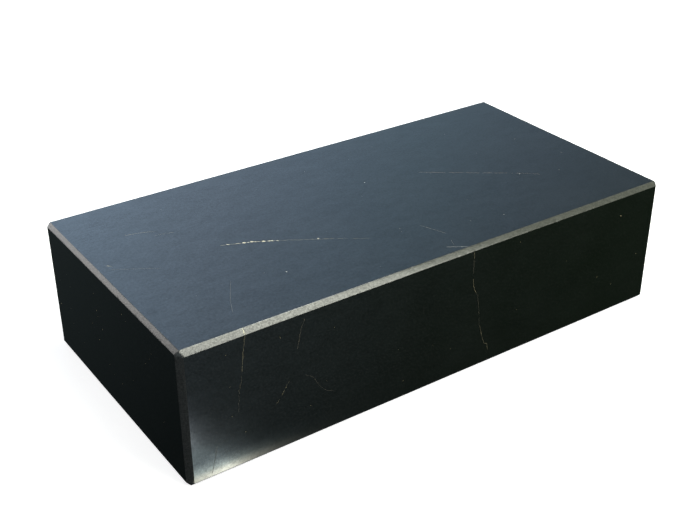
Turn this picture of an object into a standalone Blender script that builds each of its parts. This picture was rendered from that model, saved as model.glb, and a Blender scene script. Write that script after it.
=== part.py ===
"""Polished stone massage block: one rectangular bar of dark stone.

The real object is sawn and ground from a single piece of stone, so it is one
solid and one node, with nothing that moves. Every value is in metres. The
origin is at the middle of the underside, with +X along the length, +Y across
the width and +Z up. The block's proportions are 4 : 2 : 1.
"""

import bmesh
import bpy

# Driving dimensions
LENGTH = 0.200           # along X, end face to end face
WIDTH_SHARE = 1 / 2      # of the length, along Y
HEIGHT_SHARE = 1 / 4     # of the length, along Z
ARRIS_CHAMFER = 0.0015   # leg of the 45 degree chamfer round the top and the underside
CORNER_CHAMFER = 0.0018  # leg of the chamfer on the four upright edges

WIDTH = LENGTH * WIDTH_SHARE
HEIGHT = LENGTH * HEIGHT_SHARE

# Polished near-black stone
STONE_COLOUR = (0.013, 0.014, 0.015, 1.0)
STONE_ROUGHNESS = 0.22
STONE_METALLIC = 0.0


def clear_scene():
    """Remove whatever objects the scene holds."""
    for item in list(bpy.data.objects):
        bpy.data.objects.remove(item, do_unlink=True)


def make_stone_material():
    """Polished dark stone."""
    material = bpy.data.materials.new("stone")
    material.use_nodes = True
    shader = material.node_tree.nodes["Principled BSDF"]
    shader.inputs["Base Color"].default_value = STONE_COLOUR
    shader.inputs["Roughness"].default_value = STONE_ROUGHNESS
    shader.inputs["Metallic"].default_value = STONE_METALLIC
    return material


def is_upright(edge):
    """True for an edge that runs along Z."""
    start, end = edge.verts
    return abs(start.co.z - end.co.z) > HEIGHT / 2


def make_sawn_block():
    """The sharp-edged block, standing on Z = 0 and centred on X and Y.

    Each edge carries a bevel weight: 1 on the upright edges, and the share of
    the corner chamfer that the smaller chamfer takes on the other eight.
    """
    mesh = bpy.data.meshes.new("stone_block")
    solid = bmesh.new()
    bmesh.ops.create_cube(solid, size=1.0)
    bmesh.ops.scale(solid, verts=solid.verts, vec=(LENGTH, WIDTH, HEIGHT))
    bmesh.ops.translate(solid, verts=solid.verts, vec=(0.0, 0.0, HEIGHT / 2))
    weight = solid.edges.layers.float.new("bevel_weight_edge")
    for edge in solid.edges:
        edge[weight] = 1.0 if is_upright(edge) else ARRIS_CHAMFER / CORNER_CHAMFER
    solid.to_mesh(mesh)
    solid.free()
    return mesh


def add_chamfers(block):
    """Grind a flat 45 degree chamfer along all twelve edges."""
    chamfer = block.modifiers.new("chamfers", "BEVEL")
    chamfer.limit_method = "WEIGHT"
    chamfer.offset_type = "OFFSET"
    chamfer.width = CORNER_CHAMFER
    chamfer.segments = 1
    chamfer.use_clamp_overlap = True


def make_stone_block():
    """The whole object: one chamfered block of stone."""
    block = bpy.data.objects.new("stone_block", make_sawn_block())
    bpy.context.scene.collection.objects.link(block)
    block.data.materials.append(make_stone_material())
    add_chamfers(block)
    return block


clear_scene()
make_stone_block()
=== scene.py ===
"""Looks of the polished stone block: its faces, ground chamfers, mineral veins, stage and light.

Lengths are in metres in the frame of the CAD model: the origin is in the middle of the
underside, +X runs along the length, +Y from the front side to the back and +Z up. Many small
sizes are written as a number of millimetres times MM. Veins and flecks are placed on a face, in
millimetres.
"""

import math
import random

import bmesh
import bpy
from mathutils import Matrix, Vector, noise
from mathutils.geometry import delaunay_2d_cdt


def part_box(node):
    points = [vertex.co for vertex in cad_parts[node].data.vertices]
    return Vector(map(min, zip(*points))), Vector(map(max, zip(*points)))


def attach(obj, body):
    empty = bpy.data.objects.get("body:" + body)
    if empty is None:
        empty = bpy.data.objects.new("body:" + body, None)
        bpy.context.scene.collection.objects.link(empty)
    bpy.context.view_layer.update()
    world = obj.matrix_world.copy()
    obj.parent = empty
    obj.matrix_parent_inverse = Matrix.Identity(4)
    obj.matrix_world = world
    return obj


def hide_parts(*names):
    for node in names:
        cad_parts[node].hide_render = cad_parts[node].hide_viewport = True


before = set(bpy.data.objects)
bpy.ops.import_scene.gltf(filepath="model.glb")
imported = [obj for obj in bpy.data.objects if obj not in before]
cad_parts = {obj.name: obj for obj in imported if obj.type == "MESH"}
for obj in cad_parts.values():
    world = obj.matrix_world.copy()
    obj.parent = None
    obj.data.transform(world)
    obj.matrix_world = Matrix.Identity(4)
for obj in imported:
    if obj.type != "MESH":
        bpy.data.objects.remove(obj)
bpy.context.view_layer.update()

MM = 0.001

# The block
NODE = "stone_block"
BODY = "root"
LOW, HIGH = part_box(NODE)
CENTRE = (LOW + HIGH) / 2
SKIN = 0.02 * MM            # the faces lie this far inside the CAD box, which leaves room for inlays
HALF = (HIGH - LOW) / 2 - Vector((SKIN, SKIN, SKIN))
FRONT, LEFT, TOP = -1, -1, 1    # which side of the middle a face is on, along its axis

# Ground chamfers
STEP = 0.5 * MM             # spacing of points along an arris
ALONG_X, ALONG_Y, ALONG_Z = 0, 1, 2
LEGS = {ALONG_X: 1.5 * MM, ALONG_Y: 1.5 * MM, ALONG_Z: 1.8 * MM}
SPECIAL_LEGS = {             # edges that were ground a little more or less, by the signs of their faces
    (ALONG_X, (FRONT, TOP)): 1.58 * MM,
    (ALONG_Y, (LEFT, TOP)): 1.38 * MM,
    (ALONG_Z, (LEFT, FRONT)): 1.9 * MM,
}
# How the front top chamfer strays from its leg, all in millimetres: X, the stray of its lower
# arris, on the front side, and the stray of its upper arris, on the top face.
FRONT_STRAY = (
    (-100, 0.24, -0.02),
    (-84, 0.13, 0.0),
    (-68, 0.02, 0.0),
    (-48, -0.07, 0.04),
    (-30, -0.11, 0.08),
    (-12, -0.18, 0.09),
    (12, -0.19, 0.06),
    (36, -0.18, 0.0),
    (60, -0.14, 0.0),
    (84, -0.09, -0.03),
    (100, -0.08, -0.03),
)
WOBBLE = 0.08 * MM          # how far a hand-ground arris strays over a few centimetres
WOBBLE_WAVE = 22 * MM
FRAY = 0.035 * MM           # how ragged it is close up
FRAY_WAVE = 2.6 * MM
FINE_FRAY_WAVE = 0.9 * MM
CHIP = 0.2 * MM             # chip depth for each unit of noise above the start
CHIP_WAVE = 1.1 * MM
CHIP_START = 0.36           # noise above this makes a chip
FRAY_FALLOFF = 6            # how fast the fray dies out across a chamfer, as a power
CORNER_SHARE = 0.45         # how sharply the strips meet at a corner: 0 is blunt, 1 is a point
CROWN = 0.045 * MM          # how far a chamfer bulges over its flat
CROWN_WAVE = 9 * MM
CROWN_FADE = 6 * MM         # the bulge grows to its full height this far from the corners
CROWN_END = 0.3             # the share of its height that it has at a corner
CROWN_WAVER = 0.2           # how much it varies along the chamfer, as a share
ROWS = (0.0, 0.03, 0.16, 0.5, 0.84, 0.95, 1.0)    # rows of points across a chamfer, as shares of it
SWELL = (0.0, 0.2, 0.62, 1.0, 0.9, 0.72, 0.0)      # the share of the bulge that each row has
STRIP_WIDTH = 2 * MM        # about the width of a chamfer
GRID = 5 * MM               # spacing of the points inside a face
INSIDE_OUTLINE = 1          # makes the triangulation keep what is inside a face's outline
SAME_POINT = 1e-6           # millimetres, within which the triangulation takes points as one


def new_object(name, mesh):
    """Link a mesh as a new object that rides on the block's body."""
    item = bpy.data.objects.new(name, mesh)
    bpy.context.scene.collection.objects.link(item)
    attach(item, BODY)
    return item


# ---------------------------------------------------------------- node helpers


class Tree:
    """A short way to write a node tree: add nodes and wire their sockets."""

    def __init__(self, owner):
        owner.use_nodes = True
        self.tree = owner.node_tree
        self.tree.nodes.clear()

    def add(self, kind, settings=None, **sockets):
        """A new node; sockets are given by name, as a value or as another node's output."""
        node = self.tree.nodes.new(kind)
        for key, value in (settings or {}).items():
            setattr(node, key, value)
        for key, value in sockets.items():
            self.put(node, key, value)
        return node

    def put(self, node, socket, value):
        """Set one input of a node, by name or by number."""
        target = node.inputs[socket]
        if isinstance(value, bpy.types.NodeSocket):
            self.tree.links.new(value, target)
        else:
            target.default_value = value

    def math(self, operation, first, second=0.0):
        """One step of arithmetic."""
        node = self.tree.nodes.new("ShaderNodeMath")
        node.operation = operation
        self.put(node, 0, first)
        self.put(node, 1, second)
        return node.outputs[0]

    def remap(self, value, low, high, to_low=0.0, to_high=1.0):
        """Map a range of values to another, clamped."""
        node = self.tree.nodes.new("ShaderNodeMapRange")
        node.clamp = True
        for number, item in enumerate((value, low, high, to_low, to_high)):
            self.put(node, number, item)
        return node.outputs["Result"]

    def mix(self, share, first, second):
        """Blend two colours."""
        node = self.tree.nodes.new("ShaderNodeMix")
        node.data_type = "RGBA"
        self.put(node, 0, share)
        self.put(node, 6, first)
        self.put(node, 7, second)
        return node.outputs[2]

    def noise(self, place, scale, detail=2.0, roughness=0.5):
        """A noise value from 0 to 1, where scale counts the waves in a metre."""
        node = self.tree.nodes.new("ShaderNodeTexNoise")
        self.put(node, "Vector", place)
        self.put(node, "Scale", scale)
        self.put(node, "Detail", detail)
        self.put(node, "Roughness", roughness)
        return node.outputs["Fac"]

    def stretch(self, place, factors):
        """Scale a position by a factor for each axis."""
        node = self.tree.nodes.new("ShaderNodeVectorMath")
        node.operation = "MULTIPLY"
        self.put(node, 0, place)
        self.put(node, 1, factors)
        return node.outputs[0]


def grey(value):
    """A neutral colour."""
    return (value, value, value, 1.0)


def surface(name):
    """A new material with a Principled shader: (material, tree, shader)."""
    material = bpy.data.materials.new(name)
    tree = Tree(material)
    shader = tree.add("ShaderNodeBsdfPrincipled")
    output = tree.add("ShaderNodeOutputMaterial")
    tree.put(output, "Surface", shader.outputs["BSDF"])
    return material, tree, shader


# ---------------------------------------------------------------- materials

BLACK = (0.0015, 0.0022, 0.0016, 1.0)
BLACK_CLOUD = (0.0026, 0.0034, 0.0027, 1.0)
BLACK_GRAIN = (0.012, 0.0125, 0.0115, 1.0)
GROUND_DARK = (0.024, 0.026, 0.026, 1.0)
GROUND_PALE = (0.046, 0.049, 0.048, 1.0)
GROUND_BLOTCH = (0.027, 0.029, 0.029, 1.0)
BUMP = 0.02 * MM            # height of the finest relief, which is only shaded
MOTTLE_SCALE = 1800.0       # waves in a metre of a mineral's mottle
MINERALS = {                # pale tone, dark tone and lowest roughness of each mineral
    "gold_hairline": ((0.34, 0.30, 0.20), (0.12, 0.11, 0.08), 0.4),
    "pyrite": ((0.86, 0.81, 0.66), (0.52, 0.46, 0.30), 0.35),
    "vein_brown": ((0.20, 0.17, 0.10), (0.07, 0.06, 0.04), 0.4),
    "vein_grey": ((0.13, 0.11, 0.08), (0.05, 0.045, 0.035), 0.45),
    "vein_pale": ((0.72, 0.69, 0.50), (0.42, 0.40, 0.27), 0.4),
    "vein_hidden": ((0.22, 0.19, 0.11), (0.08, 0.07, 0.045), 0.4),
    "reddish": ((0.30, 0.235, 0.19), (0.16, 0.125, 0.10), 0.45),
    "scratch": ((0.32, 0.32, 0.30), (0.16, 0.16, 0.15), 0.5),
    "faint_mark": ((0.22, 0.21, 0.18), (0.10, 0.095, 0.08), 0.5),
    "crack": ((0.004, 0.004, 0.004), (0.001, 0.001, 0.001), 0.8),
    "fleck_pale": ((0.62, 0.62, 0.58), (0.30, 0.30, 0.27), 0.45),
    "fleck_gold": ((0.50, 0.42, 0.24), (0.22, 0.18, 0.10), 0.4),
}


def polished_stone():
    """Satin-polished black stone: cloudy tone, fine grain, polishing lines and smudges.

    Lines run along X and along Y, slow in their own direction and quick across it.
    """
    material, tree, shader = surface("polished_stone")
    place = tree.add("ShaderNodeTexCoord").outputs["Object"]
    cloud = tree.noise(place, 55.0, 3.0)
    grain = tree.noise(place, 1500.0, 2.0, 0.6)
    tone = tree.mix(tree.remap(cloud, 0.35, 0.65), BLACK, BLACK_CLOUD)
    tone = tree.mix(tree.remap(grain, 0.5, 0.75), tone, BLACK_GRAIN)
    tree.put(shader, "Base Color", tone)
    along = tree.noise(tree.stretch(place, (60.0, 2600.0, 2600.0)), 1.0, 2.0)
    across = tree.noise(tree.stretch(place, (2600.0, 60.0, 2600.0)), 1.0, 2.0)
    lines = tree.math("ADD", along, across)
    smudge = tree.noise(place, 30.0, 3.0, 0.6)
    fine = tree.remap(lines, 0.7, 1.3, -0.02, 0.02)
    rough = tree.math("ADD", fine, tree.remap(smudge, 0.3, 0.7, 0.19, 0.25))
    tree.put(shader, "Roughness", rough)
    ripple = tree.noise(place, 420.0, 2.0)
    height = tree.math("ADD", tree.math("MULTIPLY", ripple, 5.0), tree.math("ADD", lines, grain))
    bump = tree.add("ShaderNodeBump", Strength=0.12, Distance=BUMP)
    tree.put(bump, "Height", height)
    tree.put(shader, "Normal", bump.outputs["Normal"])
    haze = tree.noise(tree.stretch(place, (170.0, 330.0, 330.0)), 1.0, 3.0, 0.6)
    crystal = tree.noise(place, 1100.0, 2.0, 0.7)
    cloudy = tree.remap(haze, 0.3, 0.7, -0.07, 0.07)
    sheen = tree.math("ADD", cloudy, tree.remap(crystal, 0.3, 0.7, 0.37, 0.63))
    tree.put(shader, "Specular IOR Level", sheen)
    shader.inputs["IOR"].default_value = 1.5
    return material


def ground_stone():
    """The chamfers' ground stone: duller, speckled, with grinding marks across the strip."""
    material, tree, shader = surface("ground_stone")
    place = tree.add("ShaderNodeTexCoord").outputs["Object"]
    grind = tree.add("ShaderNodeAttribute", {"attribute_name": "grind"}).outputs["Vector"]
    speckle = tree.noise(place, 2300.0, 1.0, 0.6)
    blotch = tree.noise(place, 250.0, 2.0)
    marks = tree.noise(tree.stretch(grind, (2200.0, 300.0, 1.0)), 1.0, 2.0)
    tone = tree.mix(tree.remap(speckle, 0.35, 0.65), GROUND_DARK, GROUND_PALE)
    tone = tree.mix(tree.remap(blotch, 0.35, 0.7, 0.0, 0.4), tone, GROUND_BLOTCH)
    tree.put(shader, "Base Color", tone)
    tree.put(shader, "Roughness", tree.remap(speckle, 0.3, 0.7, 0.11, 0.20))
    tree.put(shader, "Specular IOR Level", tree.remap(speckle, 0.3, 0.7, 0.30, 0.70))
    bump = tree.add("ShaderNodeBump", Strength=0.7, Distance=BUMP)
    tree.put(bump, "Height", tree.math("ADD", speckle, marks))
    tree.put(shader, "Normal", bump.outputs["Normal"])
    return material


def mineral(name):
    """A mineral of a vein or fleck, mottled between a pale and a dark tone."""
    pale, dark, rough = MINERALS[name]
    material, tree, shader = surface(name)
    place = tree.add("ShaderNodeTexCoord").outputs["Object"]
    mottle = tree.noise(place, MOTTLE_SCALE, 2.0, 0.6)
    tone = tree.mix(tree.remap(mottle, 0.35, 0.65), (*dark, 1.0), (*pale, 1.0))
    tree.put(shader, "Base Color", tone)
    tree.put(shader, "Roughness", tree.remap(mottle, 0.3, 0.7, rough, rough + 0.15))
    return material


# ---------------------------------------------------------------- the stone's mesh


def edge_seed(along, signs, face_axis):
    """A number that differs from one arris to the next."""
    return along * 17.0 + signs[0] * 5.0 + signs[1] * 3.0 + face_axis * 1.7


def inset(along, signs, face_axis, run):
    """How far an arris lies from the sharp edge, measured on one of its two faces.

    run is the distance along the edge from its middle.
    """
    seed = edge_seed(along, signs, face_axis)
    leg = SPECIAL_LEGS.get((along, signs), LEGS[along])
    leg += WOBBLE * noise.noise(Vector((run / WOBBLE_WAVE, seed, 0.5)))
    if along == ALONG_X and signs == (FRONT, TOP):
        leg += front_stray(run, face_axis)
    return leg


def front_stray(run, face_axis):
    """How far the front top chamfer strays from its leg, on the front side or on the top face.

    Those two faces' axes are 1 and 2, which are also their places in a row of FRONT_STRAY.
    """
    for low, high in zip(FRONT_STRAY, FRONT_STRAY[1:]):
        if run <= high[0] * MM:
            break
    share = (run / MM - low[0]) / (high[0] - low[0])
    return (low[face_axis] + (high[face_axis] - low[face_axis]) * share) * MM


def fray(along, signs, face_axis, run):
    """How far the grinding frayed and chipped an arris at one spot."""
    seed = edge_seed(along, signs, face_axis)
    quick = noise.noise(Vector((run / FRAY_WAVE, seed, 7.5)))
    tiny = noise.noise(Vector((run / FINE_FRAY_WAVE, seed, 3.5)))
    chip = noise.noise(Vector((run / CHIP_WAVE, seed, 21.5))) - CHIP_START
    return FRAY * (0.6 * quick + 0.4 * tiny) + max(0.0, chip) * CHIP


class StoneMesh:
    """Builds the block's skin: six polished faces, twelve chamfers and eight corners.

    arris holds the points of each arris, smooth their places before the fray, corner the
    corners of the polished faces, ends the short ends of the chamfers, and ridges the edges
    that stay sharp at the corners.
    """

    def __init__(self):
        self.mesh = bmesh.new()
        self.grind = self.mesh.verts.layers.float_vector.new("grind")
        self.arris = {}
        self.smooth = {}
        self.corner = {}
        self.ends = {}
        self.ridges = []

    def corner_point(self, face_axis, signs):
        """The corner of a polished face at a corner of the block."""
        key = (face_axis, signs)
        if key not in self.corner:
            place = [signs[axis] * HALF[axis] for axis in range(3)]
            for other in range(3):
                if other == face_axis:
                    continue
                along = 3 - face_axis - other
                pair = tuple(signs[axis] for axis in range(3) if axis != along)
                run = signs[along] * HALF[along]
                place[other] -= signs[other] * inset(along, pair, face_axis, run)
            self.corner[key] = self.mesh.verts.new(CENTRE + Vector(place))
            self.smooth[self.corner[key]] = self.corner[key].co.copy()
        return self.corner[key]

    def arris_points(self, along, pair, face_axis):
        """The points of one arris, from the low end of the edge to its high end."""
        key = (along, pair, face_axis)
        if key in self.arris:
            return self.arris[key]
        axes = [axis for axis in range(3) if axis != along]
        other = axes[1] if face_axis == axes[0] else axes[0]
        signs = {axes[0]: pair[0], axes[1]: pair[1]}
        ends = []
        for end in (-1, 1):
            signs[along] = end
            ends.append(self.corner_point(face_axis, tuple(signs[axis] for axis in range(3))))
        count = round(2 * HALF[along] / STEP)
        low, high = ends[0].co[along], ends[1].co[along]
        points = [ends[0]]
        for number in range(1, count):
            place = Vector((0.0, 0.0, 0.0))
            place[along] = low + (high - low) * number / count
            place[face_axis] = CENTRE[face_axis] + signs[face_axis] * HALF[face_axis]
            run = place[along] - CENTRE[along]
            leg = inset(along, pair, face_axis, run)
            place[other] = CENTRE[other] + signs[other] * (HALF[other] - leg)
            ragged = place.copy()
            ragged[other] -= signs[other] * fray(along, pair, face_axis, run)
            vert = self.mesh.verts.new(ragged)
            self.smooth[vert] = place
            points.append(vert)
        points.append(ends[1])
        self.arris[key] = points
        return points

    def chamfer(self, along, pair):
        """The ground strip along one edge, slightly crowned and wavy."""
        axes = [axis for axis in range(3) if axis != along]
        first = self.arris_points(along, pair, axes[0])
        second = self.arris_points(along, pair, axes[1])
        outward = Vector((0.0, 0.0, 0.0))
        outward[axes[0]] = pair[0]
        outward[axes[1]] = pair[1]
        outward.normalize()
        rows = [first]
        for share, swell in zip(ROWS[1:-1], SWELL[1:-1]):
            row = []
            for start, end in zip(first, second):
                middle = self.strip_point(start, end, share)
                bulge = self.bulge(along, pair, middle, swell)
                row.append(self.mesh.verts.new(middle + outward * bulge))
            rows.append(row)
        rows.append(second)
        self.mark_grind(along, pair, rows)
        for lower, upper in zip(rows, rows[1:]):
            for number in range(len(lower) - 1):
                quad = (lower[number], lower[number + 1], upper[number + 1], upper[number])
                self.mesh.faces.new(quad).material_index = 1
        for end, pick in ((-1, 0), (1, -1)):
            self.ends[(along, pair, end)] = [row[pick] for row in rows]

    def strip_point(self, start, end, share):
        """A point of a chamfer's flat: between two arrises, and frayed like the nearer one."""
        middle = self.smooth[start].lerp(self.smooth[end], share)
        middle += (start.co - self.smooth[start]) * (1 - share) ** FRAY_FALLOFF
        middle += (end.co - self.smooth[end]) * share ** FRAY_FALLOFF
        return middle

    def bulge(self, along, pair, middle, swell):
        """How far a chamfer stands out over its flat at a point, less near the corners."""
        spot = Vector((middle[along] / CROWN_WAVE, along * 9.0 + pair[0], pair[1] * 4.0))
        short = min(1.0, (HALF[along] - abs(middle[along] - CENTRE[along])) / CROWN_FADE)
        full = CROWN * swell * (1 + CROWN_WAVER * noise.noise(spot))
        return full * (CROWN_END + (1 - CROWN_END) * short)

    def mark_grind(self, along, pair, rows):
        """Store how far along and across its chamfer a point is, and a number for the chamfer."""
        strip = along + 0.1 * pair[0] + 0.3 * pair[1]
        for share, row in zip(ROWS, rows):
            for vert in row:
                vert[self.grind] = (vert.co[along], share * STRIP_WIDTH, strip)

    def corner_facet(self, signs):
        """The corner where three chamfers meet, as a fan round a shared point."""
        loops = []
        for along in range(3):
            pair = tuple(signs[axis] for axis in range(3) if axis != along)
            loops.append(self.ends[(along, pair, signs[along])])
        hub = self.mesh.verts.new(self.corner_hub(signs))
        hub[self.grind] = tuple(hub.co)
        for loop in loops:
            for start, end in zip(loop, loop[1:]):
                self.mesh.faces.new((hub, start, end)).material_index = 1
        for loop in loops:
            for vert in (loop[0], loop[-1]):
                self.ridges.append((hub, vert))

    def corner_hub(self, signs):
        """Where the three strips of a corner run out.

        That is between the corner of the top face or underside and where the strips' flats meet.
        """
        corners = [self.corner_point(axis, signs) for axis in range(3)]
        legs = []
        for axis in range(3):
            first, second = [other for other in range(3) if other != axis]
            reach = HALF[first] - abs(corners[second].co[first] - CENTRE[first])
            reach += HALF[second] - abs(corners[first].co[second] - CENTRE[second])
            legs.append(reach / 2)
        inward = Vector([sum(legs) - 2 * leg for leg in legs]) / 2
        meeting = CENTRE + Vector([signs[axis] * (HALF[axis] - inward[axis]) for axis in range(3)])
        return corners[2].co.lerp(meeting, CORNER_SHARE)

    def polished_face(self, face_axis, sign):
        """A flat face: its four arrises and a loose grid of points inside, joined by triangles."""
        across, up = [axis for axis in range(3) if axis != face_axis]
        ring = []
        sides = ((across, up, -1, 1), (up, across, 1, 1), (across, up, 1, -1), (up, across, -1, -1))
        for along, other, other_sign, order in sides:
            signs = {face_axis: sign, other: other_sign}
            pair = tuple(signs[axis] for axis in range(3) if axis != along)
            ring += self.arris_points(along, pair, face_axis)[::order][:-1]
        flat = [Vector((vert.co[across], vert.co[up])) / MM for vert in ring]
        edges = [(number, (number + 1) % len(ring)) for number in range(len(ring))]
        verts = list(ring)
        for place in self.inner_points(across, up):
            spot = Vector((0.0, 0.0, 0.0))
            spot[face_axis] = CENTRE[face_axis] + sign * HALF[face_axis]
            spot[across] = place[0]
            spot[up] = place[1]
            verts.append(self.mesh.verts.new(spot))
            flat.append(Vector(place) / MM)
        result = delaunay_2d_cdt(flat, edges, [], INSIDE_OUTLINE, SAME_POINT)
        origin = [source[0] for source in result[3]]
        for triangle in result[2]:
            self.mesh.faces.new([verts[origin[number]] for number in triangle]).material_index = 0

    def inner_points(self, across, up):
        """An even grid of points well inside a face."""
        counts = [max(2, round(2 * HALF[axis] / GRID)) for axis in (across, up)]
        for first in range(1, counts[0]):
            for second in range(1, counts[1]):
                yield (
                    CENTRE[across] + HALF[across] * (2 * first / counts[0] - 1),
                    CENTRE[up] + HALF[up] * (2 * second / counts[1] - 1),
                )

    def build(self):
        """The whole skin as a Blender mesh."""
        pairs = [(first, second) for first in (-1, 1) for second in (-1, 1)]
        for along in range(3):
            for pair in pairs:
                self.chamfer(along, pair)
        for signs in [(x, y, z) for x in (-1, 1) for y, z in pairs]:
            self.corner_facet(signs)
        for face_axis in range(3):
            for sign in (-1, 1):
                self.polished_face(face_axis, sign)
        bmesh.ops.recalc_face_normals(self.mesh, faces=self.mesh.faces)
        for face in self.mesh.faces:
            face.smooth = True
        for edge in self.mesh.edges:
            kinds = {face.material_index for face in edge.link_faces}
            edge.smooth = len(kinds) == 1
        for hub, vert in self.ridges:
            self.mesh.edges.get((hub, vert)).smooth = False
        mesh = bpy.data.meshes.new("stone_skin")
        self.mesh.to_mesh(mesh)
        self.mesh.free()
        return mesh


def make_stone():
    """The visible stone, in place of the plain CAD block."""
    mesh = StoneMesh().build()
    mesh.materials.append(polished_stone())
    mesh.materials.append(ground_stone())
    stone = new_object("polished_stone_block", mesh)
    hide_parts(NODE)


# ---------------------------------------------------------------- veins, scratches and flecks

PROUD = 0.012 * MM          # how far the crest of an inlay stands out of the skin
DEEP = -0.06 * MM           # how far its root is sunk
SHOULDER = 0.3              # its sides and ends stand out by this share of the crest
PATH_STEP = 0.7             # millimetres between the points of a vein
UNEVEN = 0.28               # how much a sliver's half width varies, as a share of its width
GRAIN_POINTS = 7
GRAIN_BEND = 0.06           # how crooked a grain is, as a share of its width
FLECK_LENGTH = 1.3          # of a fleck's width
VEIN_LIFT = 0.8             # the share of the bulge at which a vein crosses the front top chamfer


def on_top(x, y):
    """Where a point of the top face is: its position, in millimetres of X and Y."""
    return Vector((x * MM, y * MM, CENTRE.z + HALF.z))


def on_front(x, z):
    """Where a point of the front side is, in millimetres of X and Z."""
    return Vector((x * MM, CENTRE.y - HALF.y, z * MM))


def on_left(y, z):
    """Where a point of the left end is, in millimetres of Y and Z."""
    return Vector((CENTRE.x - HALF.x, y * MM, z * MM))


def on_back(x, z):
    """Where a point of the back side is, in millimetres of X and Z."""
    return Vector((x * MM, CENTRE.y + HALF.y, z * MM))


def on_right(y, z):
    """Where a point of the right end is, in millimetres of Y and Z."""
    return Vector((CENTRE.x + HALF.x, y * MM, z * MM))


def on_under(x, y):
    """Where a point of the underside is, in millimetres of X and Y."""
    return Vector((x * MM, y * MM, CENTRE.z - HALF.z))


def on_front_chamfer(x, share):
    """Where a point of the front top chamfer is: share runs from its lower arris to its upper one."""
    leg = SPECIAL_LEGS[(ALONG_X, (FRONT, TOP))]
    lower = Vector((x * MM, CENTRE.y - HALF.y, CENTRE.z + HALF.z - leg))
    upper = Vector((x * MM, CENTRE.y - HALF.y + leg, CENTRE.z + HALF.z))
    return lower.lerp(upper, share) + Vector((0.0, -1.0, 1.0)).normalized() * CROWN * VEIN_LIFT


NORMALS = {
    on_top: Vector((0.0, 0.0, 1.0)),
    on_front: Vector((0.0, -1.0, 0.0)),
    on_left: Vector((-1.0, 0.0, 0.0)),
    on_back: Vector((0.0, 1.0, 0.0)),
    on_right: Vector((1.0, 0.0, 0.0)),
    on_under: Vector((0.0, 0.0, -1.0)),
    on_front_chamfer: Vector((0.0, -1.0, 1.0)).normalized(),
}


class Inlay:
    """One object made of many thin closed slivers, each let into a face of the stone."""

    def __init__(self, seed):
        self.mesh = bmesh.new()
        self.chance = random.Random(seed)

    def sliver(self, face, line, width):
        """A sliver along a line of positions, pointed at both ends."""
        normal = NORMALS[face]
        start = self.mesh.verts.new(line[0] + normal * PROUD * SHOULDER)
        last = None
        for number in range(1, len(line) - 1):
            run = (line[number + 1] - line[number - 1]).normalized()
            side = normal.cross(run)
            half = width * (0.5 + UNEVEN * (self.chance.random() - 0.5))
            middle = line[number]
            section = [
                self.mesh.verts.new(middle - side * half + normal * PROUD * SHOULDER),
                self.mesh.verts.new(middle + normal * PROUD),
                self.mesh.verts.new(middle + side * half + normal * PROUD * SHOULDER),
                self.mesh.verts.new(middle + normal * DEEP),
            ]
            for first in range(4):
                second = (first + 1) % 4
                if last is None:
                    self.mesh.faces.new((start, section[first], section[second]))
                else:
                    self.mesh.faces.new((last[first], last[second], section[second], section[first]))
            last = section
        end = self.mesh.verts.new(line[-1] + normal * PROUD * SHOULDER)
        for first in range(4):
            self.mesh.faces.new((last[first], end, last[(first + 1) % 4]))

    def path(self, face, route, stray):
        """Positions along a route of a face, a step apart and slightly astray."""
        points = []
        for (a, b), (c, d) in zip(route, route[1:]):
            count = max(1, round(math.hypot(c - a, d - b) / PATH_STEP))
            for number in range(count):
                points.append((a + (c - a) * number / count, b + (d - b) * number / count))
        points.append(route[-1])
        line = []
        for a, b in points:
            line.append(face(a + self.chance.gauss(0, stray), b + self.chance.gauss(0, stray)))
        return line

    def vein(self, face, route, width, gap=0.0, stray=0.07):
        """A hairline vein along a route, in millimetres; gap is the chance of a break at each point."""
        line = self.path(face, route, stray)
        if gap == 0.0:
            self.sliver(face, line, width * MM)
            return
        piece = []
        for place in line:
            piece.append(place)
            if len(piece) > 2 and self.chance.random() < gap:
                self.sliver(face, piece, width * MM)
                piece = []
        if len(piece) > 2:
            self.sliver(face, piece, width * MM)

    def cross(self, face, route, width):
        """A sliver straight through the given points of a route."""
        self.sliver(face, [face(a, b) for a, b in route], width * MM)

    def grain(self, face, a, b, heading, length, width):
        """A lens-shaped grain, with its middle, heading in degrees, length and width."""
        turn = math.radians(heading)
        line = []
        for number in range(GRAIN_POINTS):
            share = number / (GRAIN_POINTS - 1) - 0.5
            bend = self.chance.gauss(0, GRAIN_BEND) * width
            line.append(face(
                a + math.cos(turn) * length * share - math.sin(turn) * bend,
                b + math.sin(turn) * length * share + math.cos(turn) * bend,
            ))
        self.sliver(face, line, width * MM)

    def fleck(self, face, a, b, size):
        """A small roundish fleck."""
        self.grain(face, a, b, self.chance.uniform(0, 180), size * FLECK_LENGTH, size)

    def finish(self, name, material_name):
        """Make the object, of one mineral."""
        bmesh.ops.recalc_face_normals(self.mesh, faces=self.mesh.faces)
        mesh = bpy.data.meshes.new(name)
        self.mesh.to_mesh(mesh)
        self.mesh.free()
        mesh.materials.append(mineral(material_name))
        new_object(name, mesh)


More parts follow.
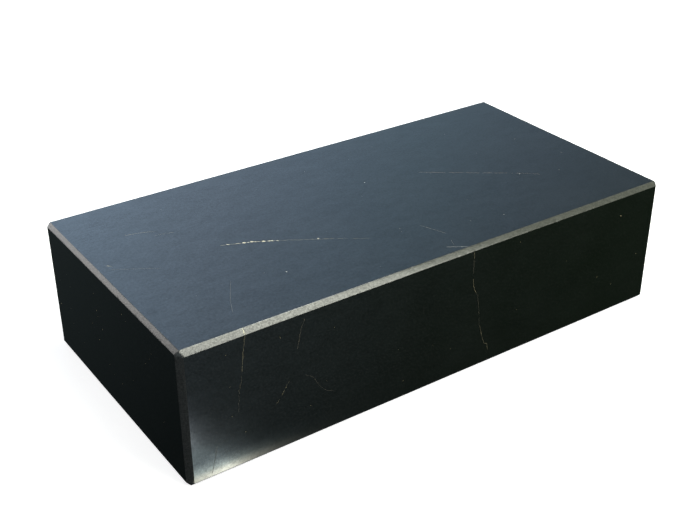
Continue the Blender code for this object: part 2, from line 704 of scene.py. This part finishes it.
PYRITE = (                  # X and Y, heading, length and width of each grain along the gold vein
    (-55.75, -1.1, -28, 1.3, 0.28),
    (-52.8, -2.3, -22, 1.3, 0.16),
    (-50.8, -3.1, -20, 1.3, 0.62),
    (-49.6, -3.65, -26, 0.9, 0.46),
    (-48.3, -3.9, -26, 1.1, 0.62),
    (-47.3, -4.55, -30, 0.9, 0.26),
    (-46.4, -5.05, -28, 1.0, 0.12),
    (-44.9, -6.0, -34, 1.3, 0.95),
    (-43.2, -6.8, -30, 1.0, 0.30),
    (-42.45, -7.2, -30, 1.0, 0.38),
    (-40.8, -8.2, -32, 1.0, 0.22),
    (-28.8, -14.85, -20, 0.7, 0.42),
)
PALE_FLECKS = (             # X, Y and size on the top face
    (-49.4, -27.7, 0.34),
    (9.4, 11.9, 0.36),
    (34.4, -37.4, 0.2),
    (61.8, -15.2, 0.26),
)
GOLD_FLECKS = (             # Y, Z and size on the left end
    (11.0, 40.1, 0.30),
    (10.3, 33.9, 0.36),
    (15.8, 26.0, 0.26),
    (7.1, 28.2, 0.30),
    (11.1, 22.0, 0.32),
    (45.0, 19.1, 0.40),
    (-11.3, 43.5, 0.34),
    (-26.3, 33.5, 0.24),
)


def make_gold_vein():
    """The gold-coloured vein on the top face, its pyrite grains, and the short veins to its left."""
    head = [(-58.4, -0.2), (-56.2, -1.1), (-50.8, -3.2), (-48.4, -4.1), (-44.9, -6.1), (-40.7, -8.1)]
    tail = [(-40.7, -8.1), (-29.0, -15.2), (-24.0, -18.2)]
    end = [(-24.0, -18.2), (-21.1, -20.1), (-14.0, -24.9)]
    hair = Inlay(3)
    hair.vein(on_top, head, 0.16)
    hair.vein(on_top, tail, 0.09, stray=0.05)
    hair.vein(on_top, end, 0.045, 0.1, stray=0.05)
    hair.vein(on_top, [(-81.6, 24.5), (-77.0, 23.5), (-74.4, 22.6), (-71.9, 21.3)], 0.10)
    hair.vein(on_top, [(-73.5, 18.6), (-70.7, 18.2), (-66.6, 17.4)], 0.06)
    hair.vein(on_top, [(-96.0, 9.0), (-95.0, 8.7), (-93.9, 7.3)], 0.16)
    hair.finish("gold_hairlines", "gold_hairline")
    grains = Inlay(5)
    for place in PYRITE:
        grains.grain(on_top, *place)
    grains.finish("pyrite_grains", "pyrite")


def make_front_veins():
    """Brown veins on the front side, two of which reach the top chamfer."""
    veins = Inlay(7)
    veins.vein(on_front, [(-77.8, 48.2), (-78.1, 46.5), (-78.7, 42.6), (-79.6, 34.7)], 0.13, 0.06)
    veins.vein(on_front, [(-79.6, 34.7), (-80.1, 31.4), (-80.8, 29.5), (-80.9, 28.0)], 0.065, 0.06)
    veins.vein(on_front, [(-63.0, 26.3), (-64.4, 23.8), (-66.3, 21.0), (-68.5, 18.2)], 0.12, 0.1)
    veins.fleck(on_front, -64.3, 23.8, 0.34)
    veins.vein(on_front, [(10.6, 48.2), (10.5, 45.4)], 0.13)
    veins.vein(on_front, [(10.7, 38.0), (10.7, 36.2), (11.4, 33.6), (12.4, 31.7)], 0.15)
    veins.vein(on_front, [(14.6, 18.0), (16.4, 12.0), (17.3, 9.4), (18.7, 8.9), (19.3, 5.5)], 0.12)
    veins.finish("front_veins", "vein_brown")


def make_faint_veins():
    """Faint grey veins on the front side, two of them between stretches of a brown one."""
    faint = Inlay(9)
    faint.vein(on_front, [(-56.8, 46.8), (-58.3, 43.2), (-59.1, 39.3), (-59.8, 36.2)], 0.13)
    curl = [(-57.4, 25.9), (-54.2, 23.7), (-52.0, 19.5), (-49.2, 16.4), (-45.6, 14.7)]
    faint.vein(on_front, curl, 0.055, stray=0.03)
    faint.vein(on_front, [(-80.9, 28.0), (-81.5, 21.0)], 0.06)
    faint.vein(on_front, [(10.5, 45.4), (10.5, 42.7), (10.6, 39.6)], 0.12)
    faint.vein(on_front, [(12.4, 31.7), (13.1, 30.4), (13.9, 24.7), (14.6, 18.0)], 0.08, 0.08)
    faint.finish("faint_front_veins", "vein_grey")


def make_chamfer_vein():
    """Where the left front vein crosses the top chamfer, with a short splinter beside it."""
    across = [(-78.0, 0.99), (-77.75, 0.9), (-77.7, 0.6), (-77.8, 0.3), (-78.0, 0.02)]
    splinter = [(-77.6, 0.22), (-77.5, 0.1), (-77.4, 0.02)]
    crossing = Inlay(11)
    crossing.cross(on_front_chamfer, across, 0.19)
    crossing.cross(on_front_chamfer, splinter, 0.14)
    crossing.finish("vein_on_chamfer", "vein_pale")


def make_hidden_veins():
    """A few veins like those in front, on the three faces that face away from the camera."""
    veins = Inlay(31)
    veins.vein(on_back, [(44.0, 47.6), (42.5, 38.0), (38.2, 27.5), (36.9, 16.0), (33.0, 7.5)], 0.12, 0.1)
    veins.vein(on_back, [(-31.0, 33.0), (-38.5, 27.0), (-43.0, 25.8)], 0.10, 0.1)
    veins.vein(on_right, [(-22.0, 46.5), (-18.5, 36.0), (-19.5, 27.0), (-14.0, 17.5)], 0.12, 0.1)
    veins.vein(on_under, [(-62.0, -18.0), (-40.0, -11.0), (-21.0, -8.0), (2.0, 1.5)], 0.12, 0.1)
    veins.vein(on_under, [(37.0, 22.0), (52.0, 16.5), (60.0, 15.0)], 0.10, 0.1)
    along, side, tall = (-95, 95), (-45, 45), (4, 46)
    for face, across, up in ((on_back, along, tall), (on_right, side, tall), (on_under, along, side)):
        for number in range(12):
            size = veins.chance.uniform(0.10, 0.22)
            veins.fleck(face, veins.chance.uniform(*across), veins.chance.uniform(*up), size)
    veins.finish("hidden_side_veins", "vein_hidden")


def make_red_line():
    """A long faint reddish line on the top face."""
    line = Inlay(13)
    line.vein(on_top, [(31.0, 7.8), (41.5, 0.2), (53.9, -9.0)], 0.09, 0.06, stray=0.05)
    line.vein(on_top, [(53.9, -9.0), (62.1, -14.7), (67.9, -20.0)], 0.05, 0.2, stray=0.05)
    line.finish("reddish_line", "reddish")


def make_scratches():
    """A pale scratch and the faintest marks on the top face, and a crack in the front side."""
    scratches = Inlay(17)
    scratches.vein(on_top, [(3.0, -44.1), (5.6, -45.9), (8.0, -47.5), (9.2, -48.1)], 0.12, stray=0.04)
    scratches.finish("pale_scratch", "scratch")
    faint = Inlay(18)
    faint.vein(on_top, [(5.2, -26.8), (7.2, -31.9), (9.1, -36.8)], 0.09, stray=0.04)
    faint.vein(on_top, [(7.4, -41.0), (5.8, -45.0)], 0.05, stray=0.04)
    faint.vein(on_top, [(-66.9, -22.4), (-70.4, -28.4), (-73.0, -33.0), (-75.8, -39.2)], 0.055, stray=0.05)
    faint.vein(on_top, [(-96.2, 6.2), (-89.8, 2.6), (-81.7, -2.6)], 0.06, stray=0.05)
    for number in range(22):
        size = faint.chance.uniform(0.10, 0.20)
        faint.fleck(on_top, faint.chance.uniform(-96, 96), faint.chance.uniform(-46, 46), size)
    faint.finish("faint_marks", "faint_mark")
    crack = Inlay(19)
    crack.vein(on_front, [(-89.4, 12.4), (-90.6, 7.3), (-91.9, 2.4)], 0.20)
    crack.finish("hairline_crack", "crack")


def make_flecks():
    """Small pale and golden mineral flecks, some at places of their own and some scattered."""
    pale = Inlay(24)
    for x, y, size in PALE_FLECKS:
        pale.fleck(on_top, x, y, size)
    pale.finish("pale_flecks", "fleck_pale")
    gold = Inlay(29)
    for y, z, size in GOLD_FLECKS:
        gold.fleck(on_left, y, z, size)
    for face, across in ((on_left, 45), (on_front, 95)):
        for number in range(18):
            size = gold.chance.uniform(0.10, 0.2)
            gold.fleck(face, gold.chance.uniform(-across, across), gold.chance.uniform(4, 46), size)
    gold.fleck(on_front, 81.0, 41.2, 0.3)
    gold.finish("gold_flecks", "fleck_gold")


# ---------------------------------------------------------------- stage, light and camera

KEY_DIRECTION = (0.234, -0.434, 0.870)   # from the block towards the key light
FLOOR_SPAN = 6.0            # half the floor's width
FLOOR_GLOW = 0.82           # brings the floor up to white
CAMERA_PLACE = Vector((-211.87, -298.70, 232.00)) * MM
CAMERA_AIM = Vector((-29.35, -34.50, 50.00)) * MM
CAMERA_ROLL = -0.126        # degrees
LENS = 58.38                # millimetres
SENSOR = 36.0               # millimetres wide


def make_floor():
    """A pale floor, which the stone does not mirror."""
    material, tree, shader = surface("pale_floor")
    place = tree.add("ShaderNodeTexCoord").outputs["Object"]
    mottle = tree.noise(place, 12.0, 3.0)
    tree.put(shader, "Base Color", tree.mix(mottle, grey(0.62), grey(0.65)))
    shader.inputs["Emission Color"].default_value = grey(1.0)
    shader.inputs["Emission Strength"].default_value = FLOOR_GLOW
    shader.inputs["Roughness"].default_value = 0.9
    shader.inputs["Specular IOR Level"].default_value = 0.1
    mesh = bpy.data.meshes.new("floor")
    span = FLOOR_SPAN
    corners = [(-span, -span, 0.0), (span, -span, 0.0), (span, span, 0.0), (-span, span, 0.0)]
    mesh.from_pydata(corners, [], [(0, 1, 2, 3)])
    mesh.materials.append(material)
    floor = bpy.data.objects.new("floor", mesh)
    bpy.context.scene.collection.objects.link(floor)
    floor.visible_glossy = False
    floor.visible_diffuse = False


# What the stone mirrors: colours by compass angle, clockwise in degrees from the back (+Y) towards +X.
# The wall and the window are above the horizon, the window only higher up, and the ground is below.
ROOM_STRENGTH = 2.5
ROOM_FILL = 0.08            # the grey that stands in for the room in diffuse light
WINDOW_EDGE = (18, 27)      # degrees above the horizon between which the wall gives way to the window
# By the Z of a direction: where the ground gives way to the wall, and where its brightness changes,
# from one Z to the next and from one factor to the next. The two factors are multiplied.
HORIZON = (-0.03, 0.05)
GROUND_NEAR = (-0.62, -0.45, 0.6, 2.0)
GROUND_FAR = (-0.34, -0.18, 1.0, 2.4)
BEHIND = (                  # what the wall and the window have in common, behind the block
    (-35, (0.22, 0.22, 0.22)),
    (-5, (0.50, 0.64, 0.80)),
    (18, (0.51, 0.70, 0.93)),
    (26, (0.365, 0.48, 0.63)),
    (32, (0.270, 0.375, 0.50)),
    (38, (0.190, 0.283, 0.365)),
    (44, (0.142, 0.197, 0.260)),
    (50, (0.095, 0.132, 0.163)),
)
WALL = (
    (-180, (0.16, 0.18, 0.21)),
    (-120, (0.18, 0.20, 0.23)),
    (-60, (0.17, 0.18, 0.19)),
    *BEHIND,
    (70, (0.11, 0.13, 0.155)),
    (110, (0.17, 0.20, 0.235)),
    (150, (0.19, 0.22, 0.26)),
    (180, (0.16, 0.18, 0.21)),
)
WINDOW = (
    (-180, (0.04, 0.04, 0.04)),
    (-120, (0.02, 0.02, 0.02)),
    (-60, (0.10, 0.10, 0.10)),
    *BEHIND,
    (70, (0.10, 0.12, 0.14)),
    (100, (0.39, 0.41, 0.27)),
    (120, (0.475, 0.51, 0.335)),
    (140, (0.475, 0.51, 0.34)),
    (160, (0.10, 0.10, 0.10)),
    (180, (0.04, 0.04, 0.04)),
)
GROUND = (
    (-180, (0.035, 0.043, 0.045)),
    (-125, (0.050, 0.060, 0.064)),
    (-90, (0.035, 0.042, 0.045)),
    (-55, (0.0106, 0.0141, 0.0140)),
    (-10, (0.0098, 0.0133, 0.0140)),
    (10, (0.030, 0.037, 0.040)),
    (45, (0.080, 0.095, 0.100)),
    (80, (0.035, 0.042, 0.043)),
    (105, (0.008, 0.016, 0.008)),
    (130, (0.009, 0.0165, 0.0085)),
    (140, (0.016, 0.026, 0.015)),
    (146, (0.034, 0.045, 0.044)),
    (152, (0.082, 0.104, 0.112)),
    (158, (0.106, 0.134, 0.158)),
    (180, (0.035, 0.043, 0.045)),
)


def make_world():
    """What lights the block and shows in it, over a plain white that only the camera sees."""
    world = bpy.data.worlds.new("studio")
    bpy.context.scene.world = world
    tree = Tree(world)
    room = painted_room(tree)
    path = tree.add("ShaderNodeLightPath")
    lit = tree.add("ShaderNodeBackground", Strength=ROOM_STRENGTH)
    tree.put(lit, "Color", tree.mix(path.outputs["Is Diffuse Ray"], room, grey(ROOM_FILL)))
    pale = tree.add("ShaderNodeBackground", Strength=1.0, Color=grey(1.0))
    blend = tree.add("ShaderNodeMixShader", Fac=path.outputs["Is Camera Ray"])
    tree.put(blend, 1, lit.outputs[0])
    tree.put(blend, 2, pale.outputs[0])
    output = tree.add("ShaderNodeOutputWorld")
    tree.put(output, "Surface", blend.outputs[0])


def painted_room(tree):
    """The room's colour in each direction: the wall, the window higher up, and the ground below."""
    direction = tree.add("ShaderNodeTexCoord").outputs["Generated"]
    parts = tree.add("ShaderNodeSeparateXYZ", Vector=direction)
    height = parts.outputs["Z"]
    bearing = tree.math("ARCTAN2", parts.outputs["X"], parts.outputs["Y"])
    turn = tree.math("ADD", tree.math("DIVIDE", bearing, 2 * math.pi), 0.5)
    low, high = (math.sin(math.radians(angle)) for angle in WINDOW_EDGE)
    raised = tree.remap(height, low, high)
    upper = tree.mix(raised, bearing_ramp(tree, turn, WALL), bearing_ramp(tree, turn, WINDOW))
    nearer = tree.remap(height, *GROUND_NEAR)
    farther = tree.remap(height, *GROUND_FAR)
    ground = tree.add("ShaderNodeVectorMath", {"operation": "SCALE"})
    tree.put(ground, 0, bearing_ramp(tree, turn, GROUND))
    tree.put(ground, "Scale", tree.math("MULTIPLY", nearer, farther))
    above = tree.remap(height, *HORIZON)
    return tree.mix(above, ground.outputs["Vector"], upper)


def bearing_ramp(tree, turn, stops):
    """A colour by compass angle; turn runs from 0 at -180 degrees to 1 at 180."""
    ramp = tree.add("ShaderNodeValToRGB", Fac=turn)
    fill_ramp(ramp, [(angle / 360 + 0.5, colour) for angle, colour in stops])
    return ramp.outputs["Color"]


def fill_ramp(node, stops):
    """Set the stops of a colour ramp."""
    elements = node.color_ramp.elements
    while len(elements) > 1:
        elements.remove(elements[-1])
    elements[0].position = stops[0][0]
    elements[0].color = (*stops[0][1], 1.0)
    for position, colour in stops[1:]:
        elements.new(position).color = (*colour, 1.0)


# Name, direction from the block, distance, size, watts, colour and shift of each light. The front top
# chamfer mirrors the key along its left part and the wing to the right of that.
LIGHTS = (
    ("key", KEY_DIRECTION, 1.06, (0.527, 0.95), 13.0, (0.985, 1.0, 0.90), (-0.0065, -0.20)),
    ("key_wing", KEY_DIRECTION, 1.06, (0.097, 0.95), 0.87, (0.97, 1.0, 0.90), (0.3055, -0.20)),
    ("overhead", (0.33, -0.05, 0.94), 1.0, (0.30, 0.30), 4.0, (1.0, 1.0, 0.97), (0.0, 0.0)),
    ("back_left", (-0.53, 0.79, 0.32), 1.0, (0.34, 0.28), 0.82, (1.0, 0.95, 0.91), (0.0, 0.0)),
)


def softbox(name, direction, distance, size, power, colour, shift):
    """A rectangular light turned towards the block's middle, then shifted in its own plane."""
    light = bpy.data.lights.new(name, "AREA")
    light.shape = "RECTANGLE"
    light.size = size[0]
    light.size_y = size[1]
    light.energy = power
    light.color = colour
    lamp = bpy.data.objects.new(name, light)
    bpy.context.scene.collection.objects.link(lamp)
    away = Vector(direction).normalized()
    turn = (-away).to_track_quat("-Z", "Y")
    lamp.location = CENTRE + away * distance + turn @ Vector((*shift, 0.0))
    lamp.rotation_euler = turn.to_euler()


# The lit patch of floor by the near corner. Its colours run away from the block, where 1 is GLOW_REACH.
GLOW_REACH = 100 * MM
GLOW_STRENGTH = 16.0
GLOW_STOPS = (
    (0.00, (1.0, 0.99, 0.84)),
    (0.028, (0.96, 0.98, 0.84)),
    (0.048, (0.36, 0.43, 0.42)),
    (0.08, (0.128, 0.160, 0.172)),
    (0.14, (0.080, 0.100, 0.105)),
    (0.21, (0.094, 0.106, 0.114)),
    (0.26, (0.079, 0.089, 0.098)),
    (0.32, (0.045, 0.049, 0.058)),
    (0.40, (0.025, 0.026, 0.034)),
    (0.50, (0.014, 0.014, 0.020)),
    (0.80, (0.0, 0.0, 0.0)),
)
GLOW_SPAN = (-104 * MM, -40 * MM)    # X of the card's ends
GLOW_DEPTH = (0.5 * MM, 80 * MM)    # how far in front of the block it starts and ends
GLOW_HEIGHT = 0.1 * MM
GLOW_RIGHT = (-83.6 * MM, 26 * MM, 6.2 * MM)    # right edge: X at the block, slant to the left, fade
GLOW_LEFT = (-101 * MM, -97 * MM, -88 * MM)    # X where it starts, is partly lit and is fully lit
GLOW_DIM = (0.02, 0.055, 0.62, 1.0)    # how lit the middle one is, from one distance to the next
GLOW_CORNER = (-98 * MM, 45 * MM, 2.3 * MM)    # brighter line by the corner: X, slant to the right, fade
GLOW_LIFT = (0.09, 0.20, 0.0, 1.1)    # what that line adds, from one distance to the next


def glow_strength(tree, across, away):
    """How strong the patch is at an X and a distance in front of the block."""
    edge, slant, fade = GLOW_RIGHT
    border = tree.math("SUBTRACT", edge, tree.math("MULTIPLY", away, slant))
    past = tree.math("MAXIMUM", tree.math("SUBTRACT", across, border), 0.0)
    right = tree.math("EXPONENT", tree.math("DIVIDE", past, -fade))
    start, partly, fully = GLOW_LEFT
    dimmer = tree.remap(across, start, partly, 0.0, tree.remap(away, *GLOW_DIM))
    left = tree.remap(across, partly, fully, dimmer, 1.0)
    corner, slant, fade = GLOW_CORNER
    line = tree.math("ADD", tree.math("MULTIPLY", away, slant), corner)
    beside = tree.math("MAXIMUM", tree.math("SUBTRACT", across, line), 0.0)
    hug = tree.math("EXPONENT", tree.math("DIVIDE", beside, -fade))
    lift = tree.math("MULTIPLY", hug, tree.remap(away, *GLOW_LIFT))
    both = tree.math("MULTIPLY", left, tree.math("MULTIPLY", right, tree.math("ADD", lift, 1.0)))
    return tree.math("MULTIPLY", both, GLOW_STRENGTH)


def glow_material():
    """Light with nothing solid behind it, in the patch's colours."""
    material = bpy.data.materials.new("glow_card")
    tree = Tree(material)
    place = tree.add("ShaderNodeTexCoord").outputs["Object"]
    parts = tree.add("ShaderNodeSeparateXYZ", Vector=place)
    away = tree.math("DIVIDE", tree.math("SUBTRACT", LOW.y, parts.outputs["Y"]), GLOW_REACH)
    ramp = tree.add("ShaderNodeValToRGB", Fac=away)
    fill_ramp(ramp, GLOW_STOPS)
    glow = tree.add("ShaderNodeEmission")
    tree.put(glow, "Color", ramp.outputs["Color"])
    tree.put(glow, "Strength", glow_strength(tree, parts.outputs["X"], away))
    clear = tree.add("ShaderNodeBsdfTransparent")
    both = tree.add("ShaderNodeAddShader")
    tree.put(both, 0, glow.outputs[0])
    tree.put(both, 1, clear.outputs[0])
    output = tree.add("ShaderNodeOutputMaterial")
    tree.put(output, "Surface", both.outputs[0])
    return material


def make_glow_card():
    """The lit patch of floor: only its reflection in the front side is seen."""
    mesh = bpy.data.meshes.new("glow_card")
    near, far = LOW.y - GLOW_DEPTH[0], LOW.y - GLOW_DEPTH[1]
    left, right = GLOW_SPAN
    height = GLOW_HEIGHT
    corners = [(left, far, height), (right, far, height), (right, near, height), (left, near, height)]
    mesh.from_pydata(corners, [], [(0, 1, 2, 3)])
    mesh.materials.append(glow_material())
    card = bpy.data.objects.new("glow_card", mesh)
    bpy.context.scene.collection.objects.link(card)
    card.visible_camera = False
    card.visible_diffuse = False
    card.visible_shadow = False


def make_camera():
    """The photographer's viewpoint: in front on the left, looking down on the block."""
    data = bpy.data.cameras.new("camera")
    data.lens = LENS
    data.sensor_width = SENSOR
    camera = bpy.data.objects.new("camera", data)
    bpy.context.scene.collection.objects.link(camera)
    camera.location = CAMERA_PLACE
    turn = (CAMERA_AIM - camera.location).to_track_quat("-Z", "Y").to_matrix()
    roll = Matrix.Rotation(math.radians(CAMERA_ROLL), 3, "Z")
    camera.rotation_euler = (turn @ roll).to_euler()
    bpy.context.scene.camera = camera


make_stone()
make_gold_vein()
make_front_veins()
make_faint_veins()
make_chamfer_vein()
make_hidden_veins()
make_red_line()
make_scratches()
make_flecks()
make_floor()
make_glow_card()
make_world()
for light in LIGHTS:
    softbox(*light)
make_camera()
bpy.context.scene.view_settings.view_transform = "Standard"
